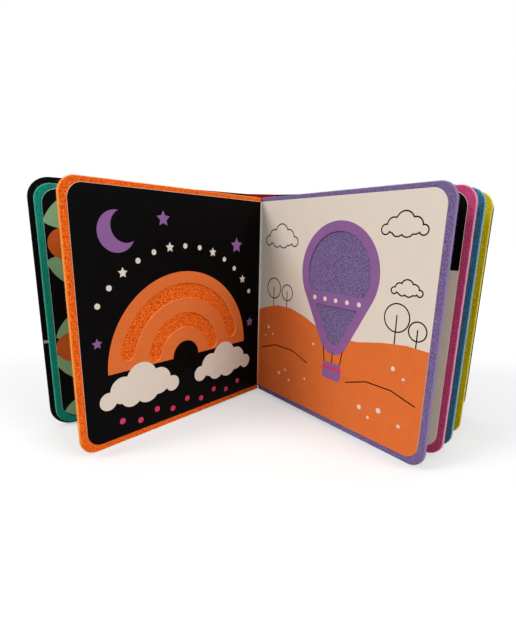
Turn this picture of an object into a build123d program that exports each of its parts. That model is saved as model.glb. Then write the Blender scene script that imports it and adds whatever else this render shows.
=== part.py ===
from build123d import *
import os
from math import asin, atan2, cos, degrees, isclose, radians, sin

os.makedirs("parts", exist_ok=True)

# A cloth leaf book, standing open. The spine stands on its tail at the origin,
# +Z is up, the reader is at -Y and the pages fan out to both sides of the view.

# Felt leaves, in millimetres
leaf_width = 169.5
leaf_height = 172.0
leaf_corner_radius = 11.0
felt_thickness = 2.8
felt_edge_radius = 0.8

# Printed card glued to both faces of each leaf
card_thickness = 0.4
card_corner_radius = 10.0
fore_corner_share = 0.3
fore_border = 4.5
head_border = 3.4
tail_border = 4.6
fold_depth = 1.4

# Case of black board
board_thickness = 2.0
board_edge_bevel = 0.4
spine_slack = 2.4
fore_square = 1.1
head_square = 4.3
tail_square = 2.8
cover_corner_radius = 14.5
hinge_clearance = 0.3
cover_clearance = 0.5
score_distance = 7.0
score_radius = 1.5
score_depth = 0.5

# Place of the block in front of the spine
spine_hollow = 5.3
gutter_offset = 0.12
tab_length = 4.0
tab_margin = 1.0

# Die-cut windows of the open pages, placed by shares of the card's reach and height
arch_reach_share = 0.51
arch_height_share = 0.28
outer_arch_radius = 50.0
inner_arch_radius = 28.0
arch_window_width = 11.0
balloon_reach_share = 0.545
balloon_crown_share = 0.68
balloon_neck_share = 0.4
balloon_band_share = 0.56
balloon_crown_radius = 29.0
balloon_neck_radius = 7.0
balloon_band_width = 9.0
window_corner_radius = 1.6
cut_overrun = 1.0

# Directions in degrees from the view axis, the reader's left being negative
green_angle = -60.3
orange_angle = -41.1
purple_angle = 37.3
pink_angle = 44.4
blue_angle = 48.6
yellow_angle = 55.9
front_opening_angle = 0.0
back_opening_angle = 16.0
arch_start_angle = 14.0

# Leaves in reading order, of which the first ones are turned to the left
leaf_angles = {
    "green": green_angle,
    "orange": orange_angle,
    "purple": purple_angle,
    "pink": pink_angle,
    "blue": blue_angle,
    "yellow": yellow_angle,
}
left_leaves = 2
leaf_names = list(leaf_angles)
angles = list(leaf_angles.values())
leaf_count = len(angles)
leaf_thickness = felt_thickness + 2 * card_thickness
card_reach = leaf_width - fore_border
card_height = leaf_height - head_border - tail_border
leaf_tail = tail_square
card_tail = leaf_tail + tail_border
case_height = tail_square + leaf_height + head_square
spine_width = leaf_count * leaf_thickness + spine_slack
spine_face = -board_thickness / 2
hinge_radius = board_thickness / 2
hinge_distance = spine_width / 2 + hinge_clearance + hinge_radius
cover_reach = board_thickness / 2 + leaf_width + fore_square


def heading(angle):
    """Unit vector from the bound edge to the fore-edge of a leaf."""
    return Vector(sin(radians(angle)), -cos(radians(angle)))


def stacking(angle):
    """Unit vector through a leaf, from the front cover to the back cover."""
    return Vector(cos(radians(angle)), sin(radians(angle)))


# The bound edges lie square to their leaves, so they step back from the open
# gutter on both sides, and the last one stops short of the spine by the hollow.
steps = [stacking(angle) * leaf_thickness for angle in angles]
left_rise = -sum(step.Y for step in steps[:left_leaves])
right_rise = sum(step.Y for step in steps[left_leaves:])
gutter_y = spine_face - card_thickness - spine_hollow - max(left_rise, right_rise)
roots = [Vector(gutter_offset, gutter_y)]
for step in reversed(steps[:left_leaves]):
    roots.insert(0, roots[0] - step)
for step in steps[left_leaves:]:
    roots.append(roots[-1] + step)


def leaf_point(index, reach, depth):
    """Plan point of a leaf, out from its bound edge and in from its front."""
    angle = angles[index]
    point = roots[index] + heading(angle) * reach + stacking(angle) * depth
    return (point.X, point.Y)


def upright(point, height, angle):
    """Upright plane with X towards the fore-edge and Y up."""
    return Plane(origin=(*point, height), x_dir=heading(angle), z_dir=-stacking(angle))


def export(part, name):
    part.label = name
    export_step(part, f"parts/{name}.step")


def round_fore_corners(radius):
    fillet(vertices().group_by(Axis.X)[-1], radius)


def rim_edges(part, angle):
    """Edges round both broad faces of a flat piece, apart from its bound edge."""
    broad_faces = part.faces().sort_by(SortBy.AREA)[-2:]
    bound_face = part.faces().sort_by(Axis((0, 0, 0), heading(angle)))[0]
    return broad_faces.edges() - bound_face.edges()


def round_card_corners(part, middle):
    """Round the fore corners of a card, whose short edges cross its thickness."""
    corners = [
        edge
        for edge in part.edges()
        if isclose(edge.length, card_thickness, rel_tol=1e-3)
        and abs((edge.center() - middle).dot(Vector(0, -1, 0))) > fore_corner_share * card_reach
    ]
    fillet(corners, card_corner_radius)


# Felt leaves, each one sheet with rounded fore corners and a soft rim
for index, name in enumerate(leaf_names):
    with BuildPart() as felt_leaf:
        leaf_plane = upright(leaf_point(index, 0, card_thickness), leaf_tail, angles[index])
        with BuildSketch(leaf_plane):
            Rectangle(leaf_width, leaf_height, align=(Align.MIN, Align.MIN))
            round_fore_corners(leaf_corner_radius)
        extrude(amount=-felt_thickness)
        fillet(rim_edges(felt_leaf.part, angles[index]), felt_edge_radius)
    export(felt_leaf.part, f"{name}_leaf")


def folded_outline(index):
    """Plan of the sheet that faces two neighbouring leaves, folded between them."""
    before = leaf_thickness - card_thickness
    return [
        leaf_point(index, card_reach, before),
        leaf_point(index, 0, before),
        leaf_point(index, 0, leaf_thickness),
        leaf_point(index + 1, 0, card_thickness),
        leaf_point(index + 1, card_reach, card_thickness),
        leaf_point(index + 1, card_reach, 0),
        leaf_point(index + 1, fold_depth, 0),
        leaf_point(index, fold_depth, leaf_thickness),
        leaf_point(index, card_reach, leaf_thickness),
    ]


# Middle lines of the arched windows, flat in page coordinates
arch_centre = (arch_reach_share * card_reach, arch_height_share * card_height)
arch_sweep = 180 - 2 * arch_start_angle
arches = [
    CenterArc(arch_centre, radius, arch_start_angle, arch_sweep)
    for radius in (outer_arch_radius, inner_arch_radius)
]

# Places of the balloon window, in page coordinates too
balloon_reach = balloon_reach_share * card_reach
balloon_crown_height = balloon_crown_share * card_height
balloon_neck_height = balloon_neck_share * card_height
balloon_band_height = balloon_band_share * card_height

# Printed sheets, one for each spread, folded at the gutter
for index in range(leaf_count - 1):
    spread_is_open = index == left_leaves - 1
    with BuildPart() as sheet:
        with BuildSketch(Plane.XY.offset(card_tail)):
            with BuildLine():
                Polyline(*folded_outline(index), close=True)
            make_face()
        extrude(amount=card_height)
        round_card_corners(sheet.part, Vector(*leaf_point(index, 0, leaf_thickness)))
        if spread_is_open:
            # Two arched windows in the left page
            left_page = upright(leaf_point(index, 0, leaf_thickness), card_tail, angles[index])
            with BuildSketch(left_page):
                for arch in arches:
                    SlotArc(arch, arch_window_width)
            extrude(amount=card_thickness + cut_overrun, both=True, mode=Mode.SUBTRACT)
            # A balloon window in the right page, crossed by a band of card
            right_page = upright(leaf_point(index + 1, 0, 0), card_tail, angles[index + 1])
            with BuildSketch(right_page):
                with Locations((balloon_reach, balloon_crown_height)):
                    Circle(balloon_crown_radius)
                with Locations((balloon_reach, balloon_neck_height)):
                    Circle(balloon_neck_radius)
                make_hull()
                with Locations((balloon_reach, balloon_band_height)):
                    Rectangle(
                        2 * balloon_crown_radius + cut_overrun,
                        balloon_band_width,
                        mode=Mode.SUBTRACT,
                    )
                band_corners = vertices().filter_by_position(
                    Axis.Y,
                    balloon_band_height - balloon_band_width,
                    balloon_band_height + balloon_band_width,
                )
                fillet(band_corners, window_corner_radius)
            extrude(amount=card_thickness + cut_overrun, both=True, mode=Mode.SUBTRACT)
    if spread_is_open:
        export(sheet.part, "open_sheet")
    else:
        export(sheet.part, f"{leaf_names[index]}_{leaf_names[index + 1]}_sheet")

# Both ends of the block: outer leaf, depth of its outer face, free side, direction
block_ends = {
    "front": (0, 0, Side.RIGHT, -1),
    "back": (leaf_count - 1, leaf_thickness, Side.LEFT, 1),
}
cover_openings = {"front": front_opening_angle, "back": back_opening_angle}

# Endpapers on the outer faces of the block, with a tab glued to the spine
for end, (index, depth, free_side, outward) in block_ends.items():
    tab_outer = outward * (spine_width / 2 - tab_margin)
    tab_inner = tab_outer - outward * tab_length
    tab_y = spine_face - card_thickness
    with BuildPart() as endpaper:
        with BuildSketch(Plane.XY.offset(card_tail)):
            with BuildLine():
                Polyline(
                    leaf_point(index, card_reach, depth),
                    leaf_point(index, 0, depth),
                    (tab_inner, tab_y),
                    (tab_outer, tab_y),
                )
                offset(amount=card_thickness, side=free_side, kind=Kind.INTERSECTION)
            make_face()
        extrude(amount=card_height)
        round_card_corners(endpaper.part, Vector(*leaf_point(index, 0, depth)))
    export(endpaper.part, f"{end}_endpaper")

# Spine board
with BuildPart() as spine:
    with BuildSketch():
        Rectangle(spine_width, board_thickness)
    extrude(amount=case_height)
    chamfer(spine.edges().filter_by(Axis.Z).group_by(Axis.Y)[-1], board_edge_bevel)
export(spine.part, "spine")


def cover_angle(index, depth, outward):
    """Direction of a cover that leans on the fore-edge of the outer leaf."""
    tip = Vector(*leaf_point(index, leaf_width, depth)) - Vector(outward * hinge_distance, 0)
    lean = asin((hinge_radius + cover_clearance) / tip.length)
    return degrees(atan2(tip.X, -tip.Y) + outward * lean)


# Covers, each hinged on a round edge beside the spine, with a score line outside;
# the front one leans on its leaf, the back one stands further open
for end, (index, depth, free_side, outward) in block_ends.items():
    angle = cover_angle(index, depth, outward) + outward * cover_openings[end]
    hinge = Vector(outward * hinge_distance, 0)
    score_offset = hinge_radius + score_radius - score_depth
    score = hinge + heading(angle) * score_distance + stacking(angle) * (outward * score_offset)
    with BuildPart() as cover:
        with BuildSketch(upright((hinge.X, hinge.Y), 0, angle)):
            Rectangle(cover_reach, case_height, align=(Align.MIN, Align.MIN))
            round_fore_corners(cover_corner_radius)
        extrude(amount=board_thickness / 2, both=True)
        chamfer(rim_edges(cover.part, angle), board_edge_bevel)
        with BuildSketch():
            with Locations(hinge):
                Circle(hinge_radius)
        extrude(amount=case_height)
        with BuildSketch():
            with Locations(score):
                Circle(score_radius)
        extrude(amount=case_height, mode=Mode.SUBTRACT)
    export(cover.part, f"{end}_cover")
    print(end, "cover stands at", round(angle, 2), "degrees from the view axis")

print("spine width", round(spine_width, 2), "gutter at", round(gutter_offset, 2), round(gutter_y, 2))
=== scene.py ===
# %% [markdown]
# # A felt leaf book, standing open
# The book is a black board case round six thick felt leaves. Folded printed cards
# are glued between them, and die-cut windows in the open pages show the felt.
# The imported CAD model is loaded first: it fixes where every piece has to be.

# %% Load the frame
import math
import random

import bpy
from mathutils import Matrix, Vector, noise
from mathutils.geometry import delaunay_2d_cdt


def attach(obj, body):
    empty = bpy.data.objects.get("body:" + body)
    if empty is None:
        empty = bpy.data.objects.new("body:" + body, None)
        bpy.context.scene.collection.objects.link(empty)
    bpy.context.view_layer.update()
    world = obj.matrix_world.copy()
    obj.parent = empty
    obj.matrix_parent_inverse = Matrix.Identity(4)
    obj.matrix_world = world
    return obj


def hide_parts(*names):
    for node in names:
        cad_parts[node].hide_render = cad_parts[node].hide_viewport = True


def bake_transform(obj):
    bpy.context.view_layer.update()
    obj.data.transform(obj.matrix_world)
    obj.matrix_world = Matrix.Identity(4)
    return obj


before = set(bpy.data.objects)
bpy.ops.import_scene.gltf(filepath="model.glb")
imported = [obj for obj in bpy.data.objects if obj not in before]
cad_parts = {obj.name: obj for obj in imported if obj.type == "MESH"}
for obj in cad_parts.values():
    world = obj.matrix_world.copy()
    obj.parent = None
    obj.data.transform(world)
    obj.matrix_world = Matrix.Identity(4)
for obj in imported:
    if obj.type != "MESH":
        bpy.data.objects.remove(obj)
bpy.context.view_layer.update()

# %% [markdown]
# The leaves fan out from the gutter. Each leaf has its own direction, and its bound
# edge starts where the leaf before it ends, so a few sizes place every page. They
# repeat the sizes of the CAD model, in millimetres, and MM turns them into metres.

# %% Sizes of the book and places of its leaves
MM = 0.001
LEAF_WIDTH, LEAF_HEIGHT, LEAF_CORNER = 169.5, 172.0, 11.0
FELT_THICKNESS, CARD_THICKNESS, CARD_CORNER = 2.8, 0.4, 10.0
FORE_BORDER, HEAD_BORDER, TAIL_BORDER = 4.5, 3.4, 4.6
FOLD_DEPTH, LEAF_TAIL = 1.4, 2.8
SPINE_INNER_FACE, SPINE_HOLLOW, GUTTER_OFFSET = -1.0, 5.3, 0.12
LEAF_ANGLES = {"green": -60.3, "orange": -41.1, "purple": 37.3, "pink": 44.4, "blue": 48.6, "yellow": 55.9}
LEFT_LEAVES = 2
LEAF_THICKNESS = FELT_THICKNESS + 2 * CARD_THICKNESS
CARD_REACH = LEAF_WIDTH - FORE_BORDER
CARD_HEIGHT = LEAF_HEIGHT - HEAD_BORDER - TAIL_BORDER
CARD_TAIL = LEAF_TAIL + TAIL_BORDER
leaf_names = list(LEAF_ANGLES)
angles = [math.radians(angle) for angle in LEAF_ANGLES.values()]


def heading(index):
    """Direction from a leaf's bound edge to its fore-edge."""
    return Vector((math.sin(angles[index]), -math.cos(angles[index])))


def stacking(index):
    """Direction through a leaf, from the front cover to the back cover."""
    return Vector((math.cos(angles[index]), math.sin(angles[index])))


steps = [stacking(index) * LEAF_THICKNESS for index in range(len(angles))]
left_rise = -sum(step.y for step in steps[:LEFT_LEAVES])
right_rise = sum(step.y for step in steps[LEFT_LEAVES:])
gutter_y = SPINE_INNER_FACE - CARD_THICKNESS - SPINE_HOLLOW - max(left_rise, right_rise)
roots = [Vector((GUTTER_OFFSET, gutter_y))]
for step in reversed(steps[:LEFT_LEAVES]):
    roots.insert(0, roots[0] - step)
for step in steps[LEFT_LEAVES:]:
    roots.append(roots[-1] + step)


def leaf_point(index, reach, depth, height):
    """Point of a leaf in metres: out from its bound edge, in from its front, up from the table."""
    plan = roots[index] + heading(index) * reach + stacking(index) * depth
    return Vector((plan.x, plan.y, height)) * MM


print("Gutter in mm", [round(x, 2) for x in roots[LEFT_LEAVES]])

# %% [markdown]
# The picture was taken from close by, just above the middle of the book and looking
# slightly down. The lens, the tilt and the place of the camera were solved from the
# corners of the leaves, so the render lines up with the picture.

# %% Camera
IMAGE_HEIGHT = 640
FOCAL_PIXELS, CENTRE_ROW = 403.97, 333.79
PITCH, ROLL = math.radians(13.66), math.radians(1.17)
CAMERA_PLACE = Vector((-0.68, -376.59, 143.58)) * MM

forward = Vector((0, math.cos(PITCH), -math.sin(PITCH)))
level_right = Vector((1, 0, 0))
level_up = level_right.cross(forward)
right = math.cos(ROLL) * level_right + math.sin(ROLL) * level_up
up = math.cos(ROLL) * level_up - math.sin(ROLL) * level_right

camera_data = bpy.data.cameras.new("reader")
camera_data.sensor_width = 36.0
camera_data.lens = camera_data.sensor_width * FOCAL_PIXELS / IMAGE_HEIGHT
camera_data.shift_y = (CENTRE_ROW - IMAGE_HEIGHT / 2) / IMAGE_HEIGHT
camera_data.clip_start = 0.01
camera = bpy.data.objects.new("reader", camera_data)
axes = Matrix((right, up, -forward)).transposed()
camera.matrix_world = Matrix.Translation(CAMERA_PLACE) @ axes.to_4x4()
bpy.context.scene.collection.objects.link(camera)
bpy.context.scene.camera = camera
print("Lens in mm", round(camera_data.lens, 2))

# %% [markdown]
# Every finish is a small node tree. Short helpers keep them readable: one adds a node
# with its values, one opens a node group with named sockets, so that an effect such
# as felt can be built once and used in every colour, and the others join values.


# %% Helpers for node trees
def set_inputs(node, values):
    """Values for some inputs of a node."""
    for name, value in values.items():
        node.inputs[name].default_value = value


def add_node(tree, kind, values=None, **settings):
    """New node, with its settings and the values of its inputs."""
    node = tree.nodes.new(kind)
    for name, value in settings.items():
        setattr(node, name, value)
    set_inputs(node, values or {})
    return node


def open_group(name, inputs, outputs):
    """New shader node group. Returns its tree, its input node and its output node."""
    tree = bpy.data.node_groups.new(name, "ShaderNodeTree")
    for direction, sockets in (("INPUT", inputs), ("OUTPUT", outputs)):
        for socket, kind in sockets.items():
            tree.interface.new_socket(socket, in_out=direction, socket_type="NodeSocket" + kind)
    return tree, tree.nodes.new("NodeGroupInput"), tree.nodes.new("NodeGroupOutput")


def millimetres(tree):
    """Coordinates on the piece in millimetres, so that a scale of 1 is one grain per millimetre."""
    where = tree.nodes.new("ShaderNodeTexCoord")
    scaled = add_node(tree, "ShaderNodeVectorMath", {"Scale": 1 / MM}, operation="SCALE")
    tree.links.new(where.outputs["Object"], scaled.inputs[0])
    return scaled.outputs["Vector"]


def cloudy(tree, place, values, **settings):
    """Noise at a place on the piece."""
    node = add_node(tree, "ShaderNodeTexNoise", values, **settings)
    tree.links.new(place, node.inputs["Vector"])
    return node.outputs["Fac"]


def remapped(tree, value, from_range, to_range):
    """A value moved from one range to another, and held inside it."""
    names = ("From Min", "From Max", "To Min", "To Max")
    node = add_node(tree, "ShaderNodeMapRange", dict(zip(names, (*from_range, *to_range))))
    tree.links.new(value, node.inputs["Value"])
    return node.outputs["Result"]


def multiplied(tree, value, factor):
    """A value times a fixed factor."""
    node = add_node(tree, "ShaderNodeMath", {1: factor}, operation="MULTIPLY")
    tree.links.new(value, node.inputs[0])
    return node.outputs["Value"]


def combined(tree, operation, first, second):
    """Two values added up, or the larger of both."""
    node = add_node(tree, "ShaderNodeMath", operation=operation)
    tree.links.new(first, node.inputs[0])
    tree.links.new(second, node.inputs[1])
    return node.outputs["Value"]


def mixed(tree, share, first, second):
    """A colour between two others."""
    node = add_node(tree, "ShaderNodeMix", data_type="RGBA")
    for name, value in (("Factor", share), ("A", first), ("B", second)):
        tree.links.new(value, node.inputs[name])
    return node.outputs["Result"]


def new_finish(name, group, values, strength, distance):
    """New material with a group for its colour and relief. Returns it, the group and the shader."""
    material = bpy.data.materials.new(name)
    material.use_nodes = True
    tree = material.node_tree
    shader = tree.nodes["Principled BSDF"]
    node = add_node(tree, "ShaderNodeGroup", node_tree=group)
    set_inputs(node, values)
    bump = add_node(tree, "ShaderNodeBump", {"Strength": strength, "Distance": distance})
    tree.links.new(node.outputs["Color"], shader.inputs["Base Color"])
    tree.links.new(node.outputs["Height"], bump.inputs["Height"])
    tree.links.new(bump.outputs["Normal"], shader.inputs["Normal"])
    return material, node, shader


def colour(red, green, blue, alpha=1.0):
    """A colour as a screen shows it, from 0 to 255, made linear by the sRGB curve."""
    parts = [part / 255 for part in (red, green, blue)]
    linear = [part / 12.92 if part <= 0.04045 else ((part + 0.055) / 1.055) ** 2.4 for part in parts]
    return (*linear, alpha)


# %% [markdown]
# Felt is pressed wool: no weave, only flecks under a millimetre across and fine
# tangled fibres. Cloudy noise gives dark and light flecks, and ridged noise, whose
# crests look like crossing threads, gives the fibres. Both tint the colour and raise
# the surface. Two values on the mesh change it from place to place. Along the rounded
# rims the first mixes a paler tone into the colour. This is a painted highlight for the
# light that the fibres catch and let through where they stand apart. In the windows
# open_pile makes the hollows of the open pile deeper.

# %% Felt, as a node group
RIM_HIGHLIGHT_SHARE, THREAD_RELIEF = 0.8, 0.25

felt, felt_in, felt_out = open_group(
    "felt",
    {tone: "Color" for tone in ("Felt", "Hollow", "Open Hollow", "Fibre", "Painted Rim Highlight")},
    {"Color": "Color", "Height": "Float"},
)
tones = felt_in.outputs
place = millimetres(felt)
fleck = cloudy(felt, place, {"Scale": 1.6, "Detail": 2.0, "Roughness": 0.6})
thread = cloudy(
    felt,
    place,
    {"Scale": 1.7, "Detail": 3.0, "Roughness": 0.55, "Distortion": 1.4},
    noise_type="RIDGED_MULTIFRACTAL",
)
edge, pile = (
    add_node(felt, "ShaderNodeAttribute", attribute_name=name).outputs["Fac"]
    for name in ("painted_rim_highlight", "open_pile")
)
hollow_share = remapped(felt, fleck, (0.38, 0.5), (0.95, 0.0))
light_share = remapped(felt, fleck, (0.5, 0.62), (0.0, 0.85))
thread_share = remapped(felt, thread, (0.9, 1.7), (0.0, 0.6))
pale_share = combined(felt, "MAXIMUM", light_share, thread_share)
# Painted highlight: the colour turns towards the paler rim tone where the mesh asks for it.
rim_highlight_share = multiplied(felt, edge, RIM_HIGHLIGHT_SHARE)
hollow = mixed(felt, pile, tones["Hollow"], tones["Open Hollow"])
sunk = mixed(felt, hollow_share, tones["Felt"], hollow)
raised = mixed(felt, pale_share, sunk, tones["Fibre"])
rim_highlighted = mixed(felt, rim_highlight_share, raised, tones["Painted Rim Highlight"])
relief = combined(felt, "ADD", fleck, multiplied(felt, thread, THREAD_RELIEF))
felt.links.new(rim_highlighted, felt_out.inputs["Color"])
felt.links.new(relief, felt_out.inputs["Height"])
print("Nodes of the felt group", len(felt.nodes))

# %% Felt in six colours
FELT_BUMP, FELT_BUMP_STRENGTH = 0.35 * MM, 0.8
# Tones of the felt, its hollows, its fibres, and the paler tone of its rims and loose fibres, a painted
# highlight
FELT_COLOURS = {
    "green": ((12, 138, 114), (4, 92, 76), (40, 160, 138), (108, 188, 170)),
    "orange": ((248, 90, 6), (184, 46, 0), (255, 148, 54), (255, 168, 80)),
    "purple": ((112, 92, 138), (80, 64, 106), (146, 128, 172), (150, 134, 176)),
    "pink": ((194, 66, 114), (150, 40, 82), (222, 98, 146), (240, 172, 202)),
    "blue": ((50, 110, 144), (30, 76, 106), (78, 142, 172), (150, 196, 204)),
    "yellow": ((200, 178, 8), (152, 126, 0), (226, 206, 36), (250, 240, 130)),
}
OPEN_HOLLOWS = {"orange": (116, 0, 0), "purple": (72, 56, 98)}


def felt_finish(name, tones, open_hollow):
    """Material of one felt leaf: matt, with a sheen of loose fibres and a painted highlight along its rims.
    """
    # The last tone is the painted highlight of the rims.
    plain, hollow, fibre, loose = (colour(*tone) for tone in tones)
    values = {"Felt": plain, "Hollow": hollow, "Open Hollow": colour(*open_hollow)}
    values |= {"Fibre": fibre, "Painted Rim Highlight": loose}
    material, _, shader = new_finish(name, felt, values, FELT_BUMP_STRENGTH, FELT_BUMP)
    set_inputs(shader, {"Roughness": 0.95, "Specular IOR Level": 0.1})
    set_inputs(shader, {"Sheen Weight": 0.35, "Sheen Roughness": 0.6, "Sheen Tint": fibre})
    return material


felt_materials = {
    name: felt_finish(f"{name}_felt", tones, OPEN_HOLLOWS.get(name, tones[1]))
    for name, tones in FELT_COLOURS.items()
}
# The loose fibres take the paler rim tones as their colour, a painted highlight.
rim_highlight_fibre_materials = {
    name: felt_finish(f"{name}_fuzz_painted_highlight", (loose, fibre, loose, loose), fibre)
    for name, (_, _, fibre, loose) in FELT_COLOURS.items()
}
print("Felt colours", len(felt_materials))

# %% [markdown]
# The cards are printed and given a thin satin varnish. Ink on card is never quite
# even, so one group mottles the colour a little, varies the gloss, and lets the
# card's fibres show as a very low relief. Each ink is then a material of its own.

# %% Printed card, as a node group
GRAIN_RELIEF = 0.04

card, card_in, card_out = open_group(
    "printed_card",
    {"Ink": "Color", "Worn Ink": "Color", "Gloss": "Float"},
    {"Color": "Color", "Roughness": "Float", "Height": "Float"},
)
place = millimetres(card)
mottle = cloudy(card, place, {"Scale": 0.12, "Detail": 4.0, "Roughness": 0.6})
grain = cloudy(card, place, {"Scale": 2.6, "Detail": 2.0, "Roughness": 0.5})
wave = cloudy(card, place, {"Scale": 0.025, "Detail": 1.0})
mottle_share = remapped(card, mottle, (0.35, 0.7), (0.0, 1.0))
inked = mixed(card, mottle_share, card_in.outputs["Ink"], card_in.outputs["Worn Ink"])
gloss_change = remapped(card, mottle, (0.3, 0.7), (-0.05, 0.05))
gloss = combined(card, "ADD", gloss_change, card_in.outputs["Gloss"])
relief = combined(card, "ADD", multiplied(card, grain, GRAIN_RELIEF), wave)
for value, socket in ((inked, "Color"), (gloss, "Roughness"), (relief, "Height")):
    card.links.new(value, card_out.inputs[socket])
print("Nodes of the card group", len(card.nodes))

# %% Inks, cut edges and case board
CARD_BUMP, CARD_BUMP_STRENGTH = 0.5 * MM, 0.5
# Ink, worn ink and roughness
INKS = {
    "black_ink": ((3, 2, 2), (6, 5, 5), 0.5),
    "cream_ink": ((226, 214, 199), (223, 211, 196), 0.5),
    "orange_ink": ((224, 114, 54), (220, 110, 51), 0.48),
    "rust_ink": ((198, 92, 34), (192, 88, 32), 0.48),
    "purple_ink": ((142, 98, 152), (138, 94, 148), 0.48),
    "pink_ink": ((212, 62, 104), (205, 57, 98), 0.48),
    "leaf_ink": ((134, 170, 124), (130, 166, 120), 0.48),
    "card_edge": ((246, 232, 220), (238, 222, 208), 0.8),
    # Painted light: the window cut edges are the same bare card core, painted orange on the arches for
    # light bounced off the orange felt, and dark lilac on the balloon for shade.
    "arch_edge": ((255, 180, 112), (248, 170, 102), 0.8),
    "balloon_edge": ((156, 126, 164), (148, 118, 156), 0.8),
    "case_black": ((3, 3, 3), (6, 6, 6), 0.5),
    "line_grey": ((176, 176, 166), (170, 170, 160), 0.5),
    "lining_red": ((150, 24, 28), (140, 20, 24), 0.5),
}


def card_finish(name, ink, worn_ink, gloss_value):
    """Material of one ink on card, or of the case's laminated board."""
    values = {"Ink": colour(*ink), "Worn Ink": colour(*worn_ink), "Gloss": gloss_value}
    material, node, shader = new_finish(name, card, values, CARD_BUMP_STRENGTH, CARD_BUMP)
    material.node_tree.links.new(node.outputs["Roughness"], shader.inputs["Roughness"])
    set_inputs(shader, {"Specular IOR Level": 0.04})
    return material


inks = {name: card_finish(name, *values) for name, values in INKS.items()}
print("Inks and boards", len(inks))

# %% [markdown]
# A plain pale floor and soft light, as from two windows and a ceiling. The left window
# is the strongest and gives the soft shade in the gutter, the right one lights the
# other page, and the ceiling and the world fill the rest. The floor is a matt grey, so
# that it throws little colour back on the book, and a glow of its own, which only the
# camera and reflections see, makes it look white.

# %% Floor, world and lamps
FLOOR_HALF, FLOOR_GREY, FLOOR_GLOW = 20.0, 0.5, 0.44
WORLD_LIGHT = 0.49
# Where each lamp stands, how wide its light is in degrees, and its strength
LAMPS = {
    "left_window": ((-0.76, -0.34, 0.56), 22.0, 1.58),
    "right_window": ((0.70, -0.44, 0.57), 30.0, 1.2),
    "ceiling": ((0.0, -0.2, 0.98), 60.0, 0.8),
}


def background_seen(tree):
    """1 where the camera sees the background, also in a reflection or through glass."""
    ray = tree.nodes.new("ShaderNodeLightPath")
    seen = ray.outputs["Is Camera Ray"]
    for kind in ("Is Glossy Ray", "Is Transmission Ray"):
        seen = combined(tree, "MAXIMUM", seen, ray.outputs[kind])
    return seen


floor_mesh = bpy.data.meshes.new("floor")
floor_corners = [(x * FLOOR_HALF, y * FLOOR_HALF, 0) for x, y in ((-1, -1), (1, -1), (1, 1), (-1, 1))]
floor_mesh.from_pydata(floor_corners, [], [(0, 1, 2, 3)])
floor = bpy.data.objects.new("floor", floor_mesh)
bpy.context.scene.collection.objects.link(floor)

floor_material = bpy.data.materials.new("floor_white")
floor_material.use_nodes = True
tree = floor_material.node_tree
tree.nodes.clear()
matt = add_node(tree, "ShaderNodeBsdfDiffuse", {"Color": (FLOOR_GREY, FLOOR_GREY, FLOOR_GREY, 1)})
glow = add_node(tree, "ShaderNodeEmission", {"Color": (1, 1, 1, 1)})
both = tree.nodes.new("ShaderNodeAddShader")
surface = tree.nodes.new("ShaderNodeOutputMaterial")
tree.links.new(multiplied(tree, background_seen(tree), FLOOR_GLOW), glow.inputs["Strength"])
tree.links.new(matt.outputs["BSDF"], both.inputs[0])
tree.links.new(glow.outputs["Emission"], both.inputs[1])
tree.links.new(both.outputs["Shader"], surface.inputs["Surface"])
floor_mesh.materials.append(floor_material)

world = bpy.data.worlds.new("studio")
bpy.context.scene.world = world
world.use_nodes = True
tree = world.node_tree
sky = tree.nodes["Background"]
set_inputs(sky, {"Color": (1, 1, 1, 1)})
sky_strength = remapped(tree, background_seen(tree), (0.0, 1.0), (WORLD_LIGHT, 1.0))
tree.links.new(sky_strength, sky.inputs["Strength"])

for name, (direction, softness, strength) in LAMPS.items():
    lamp_data = bpy.data.lights.new(name, "SUN")
    lamp_data.angle = math.radians(softness)
    lamp_data.energy = strength
    lamp = bpy.data.objects.new(name, lamp_data)
    lamp.rotation_euler = (-Vector(direction)).to_track_quat("-Z", "Y").to_euler()
    bpy.context.scene.collection.objects.link(lamp)
bpy.context.scene.view_settings.view_transform = "Standard"
print("Lamps", len(LAMPS))

# %% [markdown]
# A felt leaf is a thick soft sheet. Its outline has two round fore corners, and its
# rim is rounded like a pressed edge. The rim is a stack of rings, each a little
# further in or out, and the two broad faces are filled with small triangles. Smooth
# noise then moves every point by about a tenth of a millimetre, as no felt is flat.
# Blender starts this noise from the clock, so each run moves the points a little anew.

# %% Outline of a felt leaf
OUTLINE_STEP, CORNER_STEPS = 1.6, 14


def along(start, end, step):
    """Points from start towards end, without the end."""
    count = max(1, round((end - start).length / step))
    return [start.lerp(end, i / count) for i in range(count)]


def arc(centre, radius, start, end, count):
    """Points on an arc, angles in degrees, both ends included."""
    turns = [math.radians(start + (end - start) * i / count) for i in range(count + 1)]
    return [Vector(centre) + radius * Vector((math.cos(turn), math.sin(turn))) for turn in turns]


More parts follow.
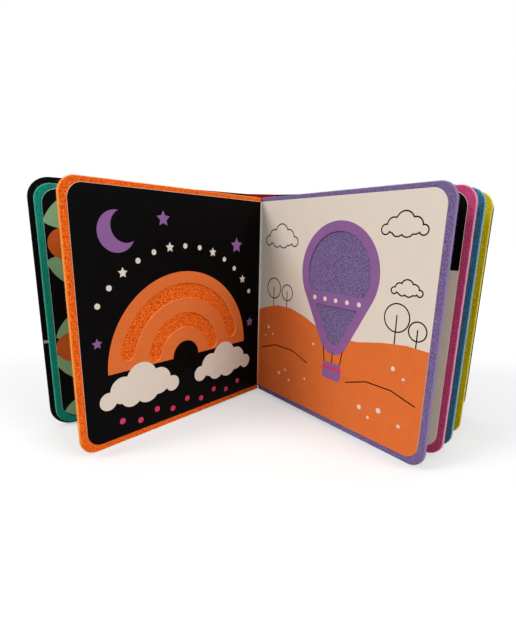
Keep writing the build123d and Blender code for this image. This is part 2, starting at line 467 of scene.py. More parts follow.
def leaf_outline(inset):
    """Outline of a leaf, drawn in from its three free edges, and how many points those have."""
    straight, high = LEAF_WIDTH - LEAF_CORNER, LEAF_HEIGHT - LEAF_CORNER
    radius, fore, top = LEAF_CORNER - inset, LEAF_WIDTH - inset, LEAF_HEIGHT - inset
    tail_edge = along(Vector((0, inset)), Vector((straight, inset)), OUTLINE_STEP)
    fore_edge = along(Vector((fore, LEAF_CORNER)), Vector((fore, high)), OUTLINE_STEP)
    head_edge = along(Vector((straight, top)), Vector((0, top)), OUTLINE_STEP)
    bound_edge = along(Vector((0, LEAF_HEIGHT)), Vector((0, 0)), OUTLINE_STEP)
    squeeze = (LEAF_HEIGHT - 2 * inset) / LEAF_HEIGHT
    bound_edge = [Vector((0, inset + squeeze * point.y)) for point in bound_edge]
    points = tail_edge + arc((straight, LEAF_CORNER), radius, -90, 0, CORNER_STEPS) + fore_edge[1:]
    points += arc((straight, high), radius, 0, 90, CORNER_STEPS) + head_edge[1:] + bound_edge
    return points, len(points) - len(bound_edge)


# %% Felt leaf as a mesh
RIM_RADIUS, RIM_STEPS = 0.9, 5
FACE_STEP, FACE_MARGIN = 2.6, 1.8
FELT_WANDER, WANDER_SIZE, WANDER_GAP = 0.12, 0.22, 40
# What the triangulation returns, and how close two points become one
WHOLE, INSIDE = 0, 1
FACE_MERGE, PRINT_MERGE = 1e-4, 1e-5


def rim_profile():
    """Rings of the rim from the front face to the back face: inset, depth and outward lean."""
    rings = []
    for i in range(RIM_STEPS + 1):
        turn = math.pi / 2 * i / RIM_STEPS
        rings.append((RIM_RADIUS * (1 - math.sin(turn)), RIM_RADIUS * (1 - math.cos(turn)), math.sin(turn)))
    return rings + [(inset, FELT_THICKNESS - depth, lean) for inset, depth, lean in reversed(rings)]


def inside_leaf(u, v, margin):
    """Whether a point lies inside a leaf's outline by a margin."""
    fore = max(0, u - (LEAF_WIDTH - LEAF_CORNER))
    end = max(0, abs(v - LEAF_HEIGHT / 2) - (LEAF_HEIGHT / 2 - LEAF_CORNER))
    return u > margin and math.hypot(fore, end) < LEAF_CORNER - margin


def face_triangles(outline):
    """Points and triangles of a leaf's broad face, with the outline's points first."""
    points = list(outline)
    for i in range(int(LEAF_WIDTH / FACE_STEP) + 1):
        for j in range(int(LEAF_HEIGHT / FACE_STEP) + 1):
            u, v = (i + 0.5 * (j % 2)) * FACE_STEP, j * FACE_STEP
            if inside_leaf(u, v, RIM_RADIUS + FACE_MARGIN):
                points.append(Vector((u, v)))
    made = delaunay_2d_cdt(points, [], [list(range(len(outline)))], INSIDE, FACE_MERGE)
    return made[0], made[2]


def wandered(index, u, v, depth):
    """Point of a leaf in metres, moved a little, but never out through its broad faces."""
    sway = noise.noise_vector(Vector((u, v, depth + WANDER_GAP * index)) * WANDER_SIZE) * FELT_WANDER
    depth = min(max(depth + sway.z, 0.0), FELT_THICKNESS)
    return leaf_point(index, max(u + sway.x, 0), CARD_THICKNESS + depth, LEAF_TAIL + max(v + sway.y, 0))


def new_piece(name, points, faces, materials):
    """Mesh object from points in metres, in the scene and with its materials."""
    mesh = bpy.data.meshes.new(name)
    mesh.from_pydata(points, [], faces)
    mesh.validate()
    for material in materials:
        mesh.materials.append(material)
    piece = bpy.data.objects.new(name, mesh)
    bpy.context.scene.collection.objects.link(piece)
    return piece


rings = rim_profile()
outlines = [leaf_outline(inset)[0] for inset, depth, lean in rings]
free_points = leaf_outline(0)[1]
face_points, face_faces = face_triangles(outlines[0])
ring_size, inner_points = len(outlines[0]), face_points[len(outlines[0]):]


def felt_leaf(index):
    """One felt leaf: rings round the rim, and a broad face inside the first and last ring."""
    name = leaf_names[index]
    places = [(p.x, p.y, rings[k][1]) for k, outline in enumerate(outlines) for p in outline]
    front_start = len(places)
    places += [(p.x, p.y, 0.0) for p in inner_points]
    back_start = len(places)
    places += [(p.x, p.y, FELT_THICKNESS) for p in inner_points]
    last_ring = (len(rings) - 1) * ring_size
    faces = []
    for k in range(len(rings) - 1):
        for i in range(ring_size):
            j = (i + 1) % ring_size
            base, above = k * ring_size, (k + 1) * ring_size
            faces.append((base + i, above + i, above + j, base + j))
    for corners in face_faces:
        front = [c if c < ring_size else front_start + c - ring_size for c in corners]
        back = [last_ring + c if c < ring_size else back_start + c - ring_size for c in corners]
        faces += [tuple(front), tuple(reversed(back))]
    points = [wandered(index, *place) for place in places]
    piece = new_piece(f"{name}_felt_leaf", points, faces, [felt_materials[name]])
    piece.data.shade_smooth()
    # Painted highlight: each point's share of the paler rim tone grows as the rim leans outwards.
    painted_rim_highlight = [lean**2 for inset, depth, lean in rings for _ in range(ring_size)]
    painted_rim_highlight += [0.0] * (len(points) - len(painted_rim_highlight))
    piece.data.attributes.new("painted_rim_highlight", "FLOAT", "POINT").data.foreach_set("value", painted_rim_highlight)
    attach(piece, "block")
    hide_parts(f"{name}_leaf")
    return piece


felt_leaves = [felt_leaf(index) for index in range(len(leaf_names))]
print("Triangles of a leaf", sum(len(f.vertices) - 2 for f in felt_leaves[0].data.polygons))

# %% [markdown]
# Loose fibres stand out of a felt edge and blur it. They could be hair, but hair is
# lost when the model is exported, so each is a thin three-sided spike that bends once.
# A fixed seed gives the same fibres on every run. Their colour is the paler rim tone, a painted highlight.

# %% Fibres on the rims
FIBRES_PER_LEAF, FIBRE_SEED = 5000, 7
FIBRE_LENGTHS, FIBRE_RADIUS, FIBRE_TAPER = (0.35, 1.0), 0.022, 0.8
FIBRE_SLIDE, FIBRE_ROOT, FIBRE_SCATTER, FIBRE_BEND = 0.8, 0.1, 0.7, 0.9


def any_way(draw):
    """A vector in any direction."""
    return Vector([draw.uniform(-1, 1) for _ in range(3)])


def rim_fibres(index):
    """Loose fibres along the three free edges of a leaf."""
    draw = random.Random(FIBRE_SEED + index)
    points, faces = [], []
    for _ in range(FIBRES_PER_LEAF):
        k, i = draw.randrange(1, len(rings) - 1), draw.randrange(1, free_points - 1)
        here, before, after = outlines[k][i], outlines[k][i - 1], outlines[k][i + 1]
        edge = (after - before).normalized()
        lean = rings[k][2]
        side = -1 if k < len(rings) / 2 else 1
        out = Vector((edge.y * lean, -edge.x * lean, side * math.sqrt(max(0, 1 - lean * lean))))
        way = out + FIBRE_SCATTER * any_way(draw)
        slide = [draw.uniform(-FIBRE_SLIDE, FIBRE_SLIDE) for _ in range(2)]
        start = Vector((here.x + slide[0] * edge.x, here.y + slide[1] * edge.y, rings[k][1]))
        half = draw.uniform(*FIBRE_LENGTHS) * 0.5
        middle = start + way.normalized() * half
        tip = middle + (way + FIBRE_BEND * any_way(draw)).normalized() * half
        base = len(points)
        lengthwise = edge.to_3d()
        across = lengthwise.cross(out)
        sections = ((start - FIBRE_ROOT * out, FIBRE_RADIUS), (middle, FIBRE_TAPER * FIBRE_RADIUS))
        for centre, radius in sections:
            for corner in range(3):
                turn = 2 * math.pi * corner / 3
                points.append(centre + radius * (math.cos(turn) * lengthwise + math.sin(turn) * across))
        points.append(tip)
        for corner in range(3):
            following = (corner + 1) % 3
            faces.append((base + corner, base + following, base + 3 + following, base + 3 + corner))
            faces.append((base + 3 + corner, base + 3 + following, base + 6))
        faces.append((base + 2, base + 1, base))
    name = leaf_names[index]
    placed = [leaf_point(index, p.x, CARD_THICKNESS + p.z, LEAF_TAIL + p.y) for p in points]
    piece = new_piece(f"{name}_felt_fibres", placed, faces, [rim_highlight_fibre_materials[name]])
    piece.data.shade_smooth()
    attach(piece, "block")
    return piece


fibres = [rim_fibres(index) for index in range(len(leaf_names))]
print("Fibre triangles of a leaf", sum(len(f.vertices) - 2 for f in fibres[0].data.polygons))

# %% [markdown]
# Each card covers a whole spread: the back of one leaf, the gutter and the front of
# the next. It is drawn flat first, with the gutter at 0 and the reader's right
# positive. The triangulation takes the card's outline, the windows and all printed
# shapes at once, and says for each triangle which of them it lies in. The last shape
# painted gives the ink, and a triangle inside a window is left out, so the window is
# a real hole, whose cut edge reaches down to the felt. Each window's cut edge has a
# colour of its own: painted bounce light on the arches, painted shade on the balloon.
# The knife bends the outer rim back a little. The print is shifted a trace down on the
# card, so the bare rim shows as a thin pale line along the head and hardly along the
# tail: a painted highlight.

# %% Printed card with ink outlines and windows
FOLD_LINES = [-FOLD_DEPTH, -FOLD_DEPTH / 2, 0.0, FOLD_DEPTH / 2, FOLD_DEPTH]
FOLD_SINK, FOLD_SPREAD, FOLD_OVERRUN = 0.3, 0.4, 1
CARD_CORNER_STEPS = 16
CUT_MARGIN, CUT_BEVEL, CUT_DEPTH = 0.08, 0.16, 1.05
# Painted highlight: the print moves down, so the bare pale rim is wider along the head than along the tail.
HEAD_HIGHLIGHT_DROP = Vector((0, -0.06))


def spread_point(index, s, v, depth):
    """Point of a spread in metres: across from the gutter, up, and in from the print."""
    height = CARD_TAIL + v
    if s <= -FOLD_DEPTH:
        return leaf_point(index, -s, LEAF_THICKNESS - depth, height)
    if s >= FOLD_DEPTH:
        return leaf_point(index + 1, s, depth, height)
    left = leaf_point(index, FOLD_DEPTH, LEAF_THICKNESS - depth, height)
    right_side = leaf_point(index + 1, FOLD_DEPTH, depth, height)
    share = (s + FOLD_DEPTH) / (2 * FOLD_DEPTH)
    inward = -(heading(index) + heading(index + 1)).normalized().to_3d()
    sink = (FOLD_SINK + FOLD_SPREAD * depth) * 4 * share * (1 - share) * MM
    return left.lerp(right_side, share) + inward * sink


def card_outline(inset):
    """Flat outline of a spread's card with four round corners, drawn in by an inset."""
    x, low_y, high_y = CARD_REACH - CARD_CORNER, CARD_CORNER, CARD_HEIGHT - CARD_CORNER
    radius = CARD_CORNER - inset
    centres = ((x, low_y), (x, high_y), (-x, high_y), (-x, low_y))
    points = []
    for centre, start in zip(centres, (-90, 0, 90, 180)):
        points += arc(centre, radius, start, start + 90, CARD_CORNER_STEPS)
    return points


def counter_clockwise(outline):
    """The outline with its inside on the left, as the triangulation needs it."""
    turns = [a.x * b.y - b.x * a.y for a, b in zip(outline, outline[1:] + outline[:1])]
    return outline if sum(turns) > 0 else outline[::-1]


def printed_sheet(node, index, ground, prints, windows=()):
    """Folded card of one spread. Prints and windows are (ink, outline) pairs, in painting order."""
    shapes = [("", card_outline(0)), *windows]
    printed_area = len(shapes)
    shapes += [(ground, [point + HEAD_HIGHLIGHT_DROP for point in card_outline(CUT_MARGIN)])] + prints
    points, polygons = [], []
    for _, outline in shapes:
        polygons.append(list(range(len(points), len(points) + len(outline))))
        points += counter_clockwise(outline)
    folds = []
    for line in FOLD_LINES:
        folds.append((len(points), len(points) + 1))
        points += [Vector((line, -FOLD_OVERRUN)), Vector((line, CARD_HEIGHT + FOLD_OVERRUN))]
    made = delaunay_2d_cdt(points, folds, polygons, WHOLE, PRINT_MERGE)
    flat_points, _, triangles, _, _, inside = made
    names = sorted({ink for ink, _ in [*prints, *windows]} | {ground, "card_edge"})
    kept, ink_of, cut_ink = [], [], {}
    for corners, owners in zip(triangles, inside):
        openings = [owner for owner in owners if 0 < owner < printed_area]
        if openings:
            cut_ink.update(dict.fromkeys(corners, shapes[openings[0]][0]))
        elif 0 in owners:
            kept.append(tuple(corners))
            ink = shapes[max(owners)][0] if printed_area in owners else "card_edge"
            ink_of.append(names.index(ink))
    edges = {}
    for corners in kept:
        for a, b in zip(corners, corners[1:] + corners[:1]):
            edges[(a, b)] = True
    rim = [(a, b) for a, b in edges if (b, a) not in edges]
    count = len(flat_points)
    outer_points = {c for pair in rim for c in pair} - cut_ink.keys()
    fronts = [CUT_BEVEL if i in outer_points else 0.0 for i in range(count)]
    backs = [CUT_DEPTH if i in cut_ink else CARD_THICKNESS for i in range(count)]
    places = [spread_point(index, p.x, p.y, depth) for p, depth in zip(2 * flat_points, fronts + backs)]
    faces = kept + [tuple(count + c for c in reversed(corners)) for corners in kept]
    faces += [(b, a, count + a, count + b) for a, b in rim]
    used = sorted({c for corners in faces for c in corners})
    renumbered = {old: new for new, old in enumerate(used)}
    faces = [tuple(renumbered[c] for c in corners) for corners in faces]
    piece = new_piece(f"{node}_card", [places[c] for c in used], faces, [inks[name] for name in names])
    plain = names.index("card_edge")
    rim_slots = [names.index(cut_ink[a]) if {a, b} <= cut_ink.keys() else plain for a, b in rim]
    slots = ink_of + [plain] * len(kept) + rim_slots
    piece.data.polygons.foreach_set("material_index", slots)
    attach(piece, "block")
    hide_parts(node)
    return piece


# %% [markdown]
# The pictures are made of plain shapes. These helpers draw them flat, in millimetres,
# each as one closed outline.


# %% Shapes to print
BLADE_STEPS, BLADE_FULLNESS = 16, 0.8


def disc(x, y, radius, count=40):
    return arc((x, y), radius, 0, 360 * (count - 1) / count, count - 1)


def box(left, low, right_end, high):
    return [Vector(p) for p in ((left, low), (right_end, low), (right_end, high), (left, high))]


def star(x, y, radius, points=5, waist=0.5, turn=90):
    spread = [radius if i % 2 == 0 else waist * radius for i in range(2 * points)]
    turns = [math.radians(turn + 180 * i / points) for i in range(2 * points)]
    return [Vector((x + r * math.cos(t), y + r * math.sin(t))) for r, t in zip(spread, turns)]


def blade(x, y, length, width, turn):
    """A pointed leaf, from its foot along its middle."""
    shares = [i / BLADE_STEPS for i in range(BLADE_STEPS + 1)]
    upper = [(length * t, 0.5 * width * math.sin(math.pi * t) ** BLADE_FULLNESS) for t in shares]
    lower = [(reach, -half) for reach, half in reversed(upper[1:-1])]
    c, n = math.cos(math.radians(turn)), math.sin(math.radians(turn))
    return [Vector((x + c * a - n * b, y + n * a + c * b)) for a, b in upper + lower]


def ring_part(x, y, inner, outer, start, end, count=64):
    return arc((x, y), outer, start, end, count) + arc((x, y), inner, end, start, count)


def stroke(points, width):
    """A line of even width through points."""
    points = [Vector(p) for p in points]
    left_side, right_side = [], []
    for i, here in enumerate(points):
        way = (points[min(i + 1, len(points) - 1)] - points[max(i - 1, 0)]).normalized()
        across = Vector((-way.y, way.x)) * width / 2
        left_side.append(here + across)
        right_side.append(here - across)
    return left_side + right_side[::-1]


def puffs(ink, lumps, grow=0.0):
    """A cloud or a tree crown, as overlapping discs of one ink."""
    return [(ink, disc(x, y, radius + grow)) for x, y, radius in lumps]


# %% [markdown]
# The windows have to lie where the CAD model cuts them, so their sizes repeat its
# values: two arched slots in the left page, and a balloon in the right page that a
# band of card crosses.

# %% Windows of the open pages
ARCH_X, ARCH_Y = -0.51 * CARD_REACH, 0.28 * CARD_HEIGHT
ARCH_RADII, ARCH_WINDOW, ARCH_START = (50.0, 28.0), 11.0, 14.0
BALLOON_X, CROWN_Y = 0.545 * CARD_REACH, 0.68 * CARD_HEIGHT
NECK_Y, BAND_Y = 0.4 * CARD_HEIGHT, 0.56 * CARD_HEIGHT
CROWN_RADIUS, NECK_RADIUS, BAND_WIDTH = 29.0, 7.0, 9.0
WINDOW_CORNER = 1.6
SHARP_TURN, CURVE_STEPS = 0.6, 6
LONG_STEPS, NECK_STEPS, END_STEPS = 72, 24, 14


def arch_window(radius):
    """A slot along an arch, with round ends."""
    half, end = ARCH_WINDOW / 2, 180 - ARCH_START
    first, last = arc((ARCH_X, ARCH_Y), radius, ARCH_START, end, 1)
    points = arc((ARCH_X, ARCH_Y), radius + half, ARCH_START, end, LONG_STEPS)
    points += arc(last, half, end, end + 180, END_STEPS)[1:]
    points += arc((ARCH_X, ARCH_Y), radius - half, end, ARCH_START, LONG_STEPS)[1:]
    return points + arc(first, half, ARCH_START + 180, ARCH_START + 360, END_STEPS)[1:-1]


def balloon_outline(grow):
    """A balloon: a large and a small circle with straight sides between them."""
    crown, neck = CROWN_RADIUS + grow, NECK_RADIUS + grow
    side = math.degrees(math.asin((crown - neck) / (CROWN_Y - NECK_Y)))
    points = arc((BALLOON_X, CROWN_Y), crown, -side, 180 + side, LONG_STEPS)
    return points + arc((BALLOON_X, NECK_Y), neck, 180 + side, 360 - side, NECK_STEPS)


def cut_off(outline, level, above):
    """The part of an outline above or below a level."""
    side = 1 if above else -1
    kept = []
    for here, after in zip(outline, outline[1:] + outline[:1]):
        gap, next_gap = side * (here.y - level), side * (after.y - level)
        if gap >= 0:
            kept.append(here)
        if gap * next_gap < 0:
            kept.append(here.lerp(after, gap / (gap - next_gap)))
    return kept


def corner_turn(outline, i):
    """How far an outline turns at one of its points, in radians."""
    before, here, after = outline[i - 1], outline[i], outline[(i + 1) % len(outline)]
    return (here - before).angle(after - here, 0.0)


def walk_back(outline, i, direction, distance):
    """Point on an outline at a distance from one of its corners."""
    here = outline[i]
    while True:
        i = (i + direction) % len(outline)
        gap = (outline[i] - here).length
        if gap >= distance:
            return here.lerp(outline[i], distance / gap)
        distance -= gap
        here = outline[i]


def rounded(outline, radius):
    """An outline whose sharp corners are replaced by short curves."""
    sharp = [i for i in range(len(outline)) if corner_turn(outline, i) >= SHARP_TURN]
    made = []
    for i, here in enumerate(outline):
        if i in sharp:
            way_in = walk_back(outline, i, -1, radius)
            way_out = walk_back(outline, i, 1, radius)
            for t in [k / CURVE_STEPS for k in range(CURVE_STEPS + 1)]:
                made.append(way_in.lerp(here, t).lerp(here.lerp(way_out, t), t))
        elif all((here - outline[k]).length > radius for k in sharp):
            made.append(here)
    return made


half_band = BAND_WIDTH / 2
upper_window = rounded(cut_off(balloon_outline(0), BAND_Y + half_band, True), WINDOW_CORNER)
lower_window = rounded(cut_off(balloon_outline(0), BAND_Y - half_band, False), WINDOW_CORNER)
arch_windows = [arch_window(radius) for radius in ARCH_RADII]
balloon_windows = [upper_window, lower_window]
# Cut edges of the arches get painted bounce light, those of the balloon painted shade.
open_windows = [("arch_edge", outline) for outline in arch_windows]
open_windows += [("balloon_edge", outline) for outline in balloon_windows]
print("Windows", len(open_windows))

# %% [markdown]
# Glue and press have pushed the felt in behind each window, so the cut edge of the card
# stands over it and throws a thin shadow. Points of the felt's face that lie in a window,
# or under the card close to it, move into the leaf and are marked as open pile.

# %% Felt pressed in behind the windows
PRESS_DEPTH, PRESS_MARGIN = 0.7, 3.2
LEFT, RIGHT = -1, 1


def inside_outline(point, outline):
    """Whether a flat point lies inside an outline, by counting the sides to its right."""
    crossings = 0
    for a, b in zip(outline, outline[1:] + outline[:1]):
        if (a.y > point.y) != (b.y > point.y):
            crossings += point.x < a.x + (point.y - a.y) * (b.x - a.x) / (b.y - a.y)
    return crossings % 2 == 1


def behind_window(point, windows):
    """Whether a flat point lies in a window or within the margin of its edge."""
    for outline in windows:
        if min((point - corner).length for corner in outline) < PRESS_MARGIN:
            return True
        if inside_outline(point, outline):
            return True
    return False


def press_felt(index, side, windows):
    """Press in the face of a leaf, on the left or the right page of the open spread."""
    mesh = felt_leaves[index].data
    open_pile = mesh.attributes.new("open_pile", "FLOAT", "POINT").data
    face_start = len(rings) * ring_size + (len(inner_points) if side == LEFT else 0)
    shift = stacking(index).to_3d() * side * PRESS_DEPTH * MM
    pressed = 0
    for k, point in enumerate(inner_points):
        if behind_window(Vector((side * point.x, point.y - TAIL_BORDER)), windows):
            mesh.vertices[face_start + k].co += shift
            open_pile[face_start + k].value = 1.0
            pressed += 1
    return pressed


pressed = press_felt(LEFT_LEAVES - 1, LEFT, arch_windows)
pressed += press_felt(LEFT_LEAVES, RIGHT, balloon_windows)
print("Points pressed in", pressed)

# %% [markdown]
# The open spread has a night page with a rainbow, whose arches frame the windows, and
# a day page with a balloon over hills. Shapes are painted from back to front.

# %% Print of the night page
GUTTER_PRINT, BLEED = -0.9 * FOLD_DEPTH, 2
PAGE_END, PAGE_TOP = CARD_REACH + BLEED, CARD_HEIGHT + BLEED
RAINBOW_INNER, RAINBOW_OUTER = 12.0, 64.0
# Lumps of a cloud, stars and dots are given by x, y and radius
CLOUD = [(0, 0, 12.5), (-15, -4, 9.5), (14, -4.5, 10), (-26, -9, 6.2), (25.5, -9.5, 6.0)]
CLOUD += [(4, -8, 10), (-9, -9, 8.5)]
CLOUD_SHIFTS, CLOUD_DROP = (-39, 40), 9
MOON_X, MOON_Y, MOON_RADIUS = -136.0, 137.0, 13.0
BITE_X, BITE_Y, BITE_RADIUS = MOON_X + 6.5, MOON_Y + 3.5, 10.5
NIGHT_STARS = [(-101, 146, 5.5), (-30, 128, 6.5), (-13, 62, 4.5), (-154, 68, 3.6)]
CHAIN_RADIUS, CHAIN_START, CHAIN_STEP, CHAIN_COUNT = 82, 32, 9.5, 13
CHAIN_STAR, CHAIN_DOT = 3.6, 1.9
ROW_START, ROW_STEP, ROW_COUNT, ROW_LEVELS, ROW_DOT = -140, 14, 9, (11, 7), 2.2

night_page = [("black_ink", box(-PAGE_END, -BLEED, GUTTER_PRINT, PAGE_TOP))]
night_page += [("orange_ink", ring_part(ARCH_X, ARCH_Y, RAINBOW_INNER, RAINBOW_OUTER, 0, 180))]
for shift in CLOUD_SHIFTS:
    lumps = [(ARCH_X + shift + x, ARCH_Y - CLOUD_DROP + y, r) for x, y, r in CLOUD]
    night_page += puffs("cream_ink", lumps)
night_page += [("purple_ink", disc(MOON_X, MOON_Y, MOON_RADIUS, count=64))]
night_page += [("black_ink", disc(BITE_X, BITE_Y, BITE_RADIUS, count=64))]
night_page += [("purple_ink", star(*values)) for values in NIGHT_STARS]
for i in range(CHAIN_COUNT):
    turn = math.radians(CHAIN_START + CHAIN_STEP * i)
    x, y = ARCH_X + CHAIN_RADIUS * math.cos(turn), ARCH_Y + CHAIN_RADIUS * math.sin(turn)
    link = star(x, y, CHAIN_STAR) if i % 3 == 1 else disc(x, y, CHAIN_DOT, count=24)
    night_page.append(("cream_ink", link))
for i in range(ROW_COUNT):
    dot = disc(ROW_START + ROW_STEP * i, ROW_LEVELS[i % 2], ROW_DOT, count=28)
    night_page.append(("pink_ink", dot))
print("Shapes on the night page", len(night_page))

# %% Print of the day page
HILLS = [(0, 72), (12, 76), (26, 79), (42, 79), (58, 75), (74, 69), (92, 65), (112, 66), (132, 70)]
HILLS += [(150, 72), (170, 71), (170, -BLEED), (GUTTER_PRINT, -BLEED)]
HILL_LINES = [[(6, 38), (24, 44), (46, 44), (64, 38)], [(104, 34), (122, 40), (142, 40), (160, 35)]]
# Trees are given by x, foot, radius of the crown and height, clouds by x, y and size
TREES = [(20, 78, 8.5, 15), (37, 80, 6.5, 11), (141, 71, 9.0, 17), (156, 72, 6.0, 10)]
TREE_SINK, TRUNK_SHARE = 4, 0.2
SKY_CLOUDS = [(28, 138, 0.62), (140, 146, 0.5), (146, 108, 0.34)]
LINE, BALLOON_RIM = 0.9, 7.0
ROPES = [((-9.5, 56), (-7.5, 44)), ((9.5, 56), (7.5, 44)), ((0, 53), (0, 44))]
BASKET_HALF, BASKET_LOW, BASKET_HIGH, BASKET_CORNER = 9, 32, 45, 3.0
RIBBON_LOW, RIBBON_HIGH = 39.5, 42
BAND_STEP, BAND_DOT = 10.5, 1.7
DOTS = [(14, 58, 1.5), (20, 53, 1.0), (10, 50, 0.9), (30, 20, 1.6), (38, 25, 1.0), (43, 17, 1.2)]
DOTS += [(118, 20, 1.7), (126, 15, 1.1), (134, 23, 1.9), (150, 18, 1.2), (142, 55, 1.5)]
DOTS += [(150, 50, 1.0), (62, 24, 1.0), (70, 55, 1.1)]

day_page = [("cream_ink", box(GUTTER_PRINT, -BLEED, PAGE_END, PAGE_TOP))]
for x, y, size in SKY_CLOUDS:
    lumps = [(x + size * a, y + size * b, size * r) for a, b, r in CLOUD]
    day_page += puffs("black_ink", lumps, LINE / 2) + puffs("cream_ink", lumps, -LINE / 2)
for x, foot, radius, tall in TREES:
    crown = foot + tall
    day_page.append(("black_ink", disc(x, crown, radius + LINE / 2)))
    day_page.append(("cream_ink", disc(x, crown, radius - LINE / 2)))
    day_page.append(("black_ink", stroke([(x, foot - TREE_SINK), (x, crown + TRUNK_SHARE * radius)], LINE)))
day_page.append(("orange_ink", [Vector(p) for p in HILLS]))
day_page += [("black_ink", stroke(points, LINE)) for points in HILL_LINES]
day_page.append(("purple_ink", balloon_outline(BALLOON_RIM)))
for rope in ROPES:
    day_page.append(("black_ink", stroke([(BALLOON_X + x, y) for x, y in rope], LINE)))
basket_left, basket_right = BALLOON_X - BASKET_HALF, BALLOON_X + BASKET_HALF
basket = box(basket_left, BASKET_LOW, basket_right, BASKET_HIGH)
day_page.append(("purple_ink", rounded(basket, BASKET_CORNER)))
day_page.append(("pink_ink", box(basket_left, RIBBON_LOW, basket_right, RIBBON_HIGH)))
for i in range(-2, 3):
    day_page.append(("cream_ink", disc(BALLOON_X + BAND_STEP * i, BAND_Y, BAND_DOT, count=24)))
day_page += [("cream_ink", disc(*values, count=20)) for values in DOTS]
print("Shapes on the day page", len(day_page))

# %% Card of the open spread
open_card = printed_sheet("open_sheet", LEFT_LEAVES - 1, "cream_ink", night_page + day_page, open_windows)
print("Faces of the open card", len(open_card.data.polygons))

# %% [markdown]
# Of the other spreads only the outer edges show: leaves and discs on black behind the
# orange leaf, and a black field over cream behind the purple one. The rest is plain.

# %% Cards of the other spreads
# Leaves are given by x and y of the foot, length, width and direction, discs by x, y and radius
BLADES = [(-128, 156, 40, 22, 200), (-132, 104, 36, 21, 160), (-130, 78, 38, 20, 205)]
BLADES += [(-132, 34, 38, 22, 160), (-134, 10, 30, 16, 190)]
RUST_DISCS = [(-153, 128, 11), (-154, 54, 11), (-122, 128, 8), (-118, 56, 9)]
BLACK_FIELD = 118.0

garden = [("black_ink", box(-PAGE_END, -BLEED, GUTTER_PRINT, PAGE_TOP))]
garden += [("leaf_ink", blade(*values)) for values in BLADES]
garden += [("rust_ink", disc(*values)) for values in RUST_DISCS]
field = [("black_ink", box(GUTTER_PRINT, BLACK_FIELD, PAGE_END, PAGE_TOP))]
spreads = {"green_orange": garden, "purple_pink": field, "pink_blue": [], "blue_yellow": []}
for pair, prints in spreads.items():
    first_leaf = leaf_names.index(pair.split("_")[0])
    printed_sheet(f"{pair}_sheet", first_leaf, "cream_ink", prints)
print("Shapes in the garden", len(garden))

# %% [markdown]
# The case is plain board wrapped in black laminate. Its solids already have the right
# shape, with bevelled rims and a score line by each hinge, so they only need their
# finish. The endpapers at both ends of the block are black too.

# %% Case boards and endpapers
BOARD_INKS = dict.fromkeys(("front_cover", "spine", "back_cover"), "case_black")
BOARD_INKS |= dict.fromkeys(("front_endpaper", "back_endpaper"), "black_ink")
for node, ink in BOARD_INKS.items():
    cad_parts[node].material_slots[0].material = inks[ink]
print("Boards and endpapers", len(BOARD_INKS))

# %% [markdown]
# The laminate of a case runs over both hinges without a cut, and bends there when a cover
# turns. A thin film closes each hinge: it runs along the spine's back, round the hinge and
# out along the cover, as the covers stand now.

# %% Laminate over the hinges
HINGE_X, BOARD_HALF, CASE_HEIGHT = 13.3, 1.0, 179.1
FILM_GAP, FILM_LIFT, FILM_END = 0.02, 0.2, 0.1
FILM_ON_SPINE, FILM_ON_COVER = 2.4, 4.6
SPINE_STEP, COVER_STEP, BEND_STEPS = 0.3, 0.8, 8
# Side of each cover, and its direction in degrees
COVERS = {"front": (-1, -55.87), "back": (1, 69.91)}


def cover_plan(end, reach, lift):
    """Plan point of a cover: out from its hinge, and outwards from its middle."""
    side, angle = COVERS[end][0], math.radians(COVERS[end][1])
    out = Vector((math.sin(angle), -math.cos(angle)))
    through = Vector((math.cos(angle), math.sin(angle)))
    return Vector((side * HINGE_X, 0)) + reach * out + side * lift * through


def film_plan(end, lift):
    """Plan of a film: along the spine's back, round the hinge and out along the cover."""
    side, angle = COVERS[end]
    radius = BOARD_HALF + lift
    start = Vector((side * (HINGE_X - FILM_ON_SPINE), radius))
    on_spine = along(start, Vector((side * HINGE_X, radius)), SPINE_STEP)
    bend = arc((side * HINGE_X, 0), radius, 90, angle if side > 0 else 180 + angle, BEND_STEPS)
    on_cover = along(cover_plan(end, FILM_ON_COVER, radius), cover_plan(end, 0, radius), COVER_STEP)
    return on_spine + bend + on_cover[::-1]


def hinge_film(end):
    """A thin strip of laminate over one hinge, as tall as the case."""
    inner, outer = film_plan(end, FILM_GAP), film_plan(end, FILM_LIFT)
    for k in (0, -1):
        outer[k] = inner[k].lerp(outer[k], FILM_END)
    points = []
    for a, b in zip(inner, outer):
        points += [Vector((*p, z)) * MM for p, z in ((a, 0), (b, 0), (b, CASE_HEIGHT), (a, CASE_HEIGHT))]
    faces = [(0, 1, 2, 3), tuple(len(points) - k for k in (1, 2, 3, 4))]
    for i in range(0, len(points) - 4, 4):
        faces += [(i + (k + 1) % 4, i + k, i + 4 + k, i + 4 + (k + 1) % 4) for k in range(4)]
    side = COVERS[end][0]
    if side > 0:
        faces = [face[::-1] for face in faces]
    piece = new_piece(f"{end}_hinge_film", points, faces, [inks["case_black"]])
    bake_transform(piece)
    return piece


hinge_films = [hinge_film(end) for end in COVERS]
print("Hinge films", len(hinge_films))

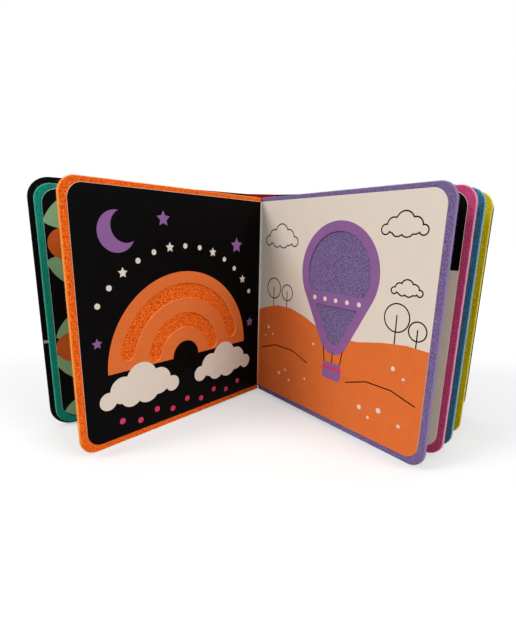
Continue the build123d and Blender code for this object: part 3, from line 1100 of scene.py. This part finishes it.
# %% [markdown]
# Two thin things lie on the inner side of the case. The spine is lined with dark red
# paper, which shows over the head of the leaves, and a thin pale grey strip lies across
# the front cover beside the fore-edge. Either could be a patch of colour in the board's
# material, but the boards are CAD solids with one finish each, so both are very thin
# plates: an outline, and the same outline again a little way off the board.

# %% Thin plates inside the case
PLATE_LIFT = 0.05


def thin_plate(name, outline, lift, ink, body):
    """A flat piece on a board, from its outline and the way it lifts off, in millimetres."""
    count = len(outline)
    points = [(corner + offset) * MM for offset in (Vector((0, 0, 0)), lift) for corner in outline]
    faces = [tuple(reversed(range(count))), tuple(range(count, 2 * count))]
    faces += [(k, (k + 1) % count, count + (k + 1) % count, count + k) for k in range(count)]
    piece = new_piece(name, points, faces, [inks[ink]])
    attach(piece, body)
    return piece


# %% Lining of the spine
LINING_HALF, LINING_WAIST = 11.9, 6.8
LINING_LEVELS = (0.2, 7.2, 171.6, 178.9)
tail, waist_low, waist_high, head = LINING_LEVELS
right_edge = [(LINING_HALF, tail), (LINING_HALF, waist_low), (LINING_WAIST, waist_low)]
right_edge += [(LINING_WAIST, waist_high), (LINING_HALF, waist_high), (LINING_HALF, head)]
left_edge = [(-x, z) for x, z in reversed(right_edge)]
lining_outline = [Vector((x, SPINE_INNER_FACE, z)) for x, z in right_edge + left_edge]
thin_plate("spine_lining", lining_outline, Vector((0, -PLATE_LIFT, 0)), "lining_red", "block")
print("Lining seen above the leaves in mm", round(head - LEAF_TAIL - LEAF_HEIGHT, 1))

# %% Line inside the front cover
LINE_LOW, LINE_HIGH, LINE_START, LINE_END = 65.2, 67.3, 9.0, 171.2
line_start, line_end = (cover_plan("front", reach, -BOARD_HALF) for reach in (LINE_START, LINE_END))
line_lift = cover_plan("front", LINE_END, -BOARD_HALF - PLATE_LIFT) - line_end
line_outline = [Vector((*line_start, z)) for z in (LINE_LOW, LINE_HIGH)]
line_outline += [Vector((*line_end, z)) for z in (LINE_HIGH, LINE_LOW)]
thin_plate("front_cover_line", line_outline, line_lift.to_3d(), "line_grey", "front_board")
print("Length of the line in mm", round((line_end - line_start).length, 1))
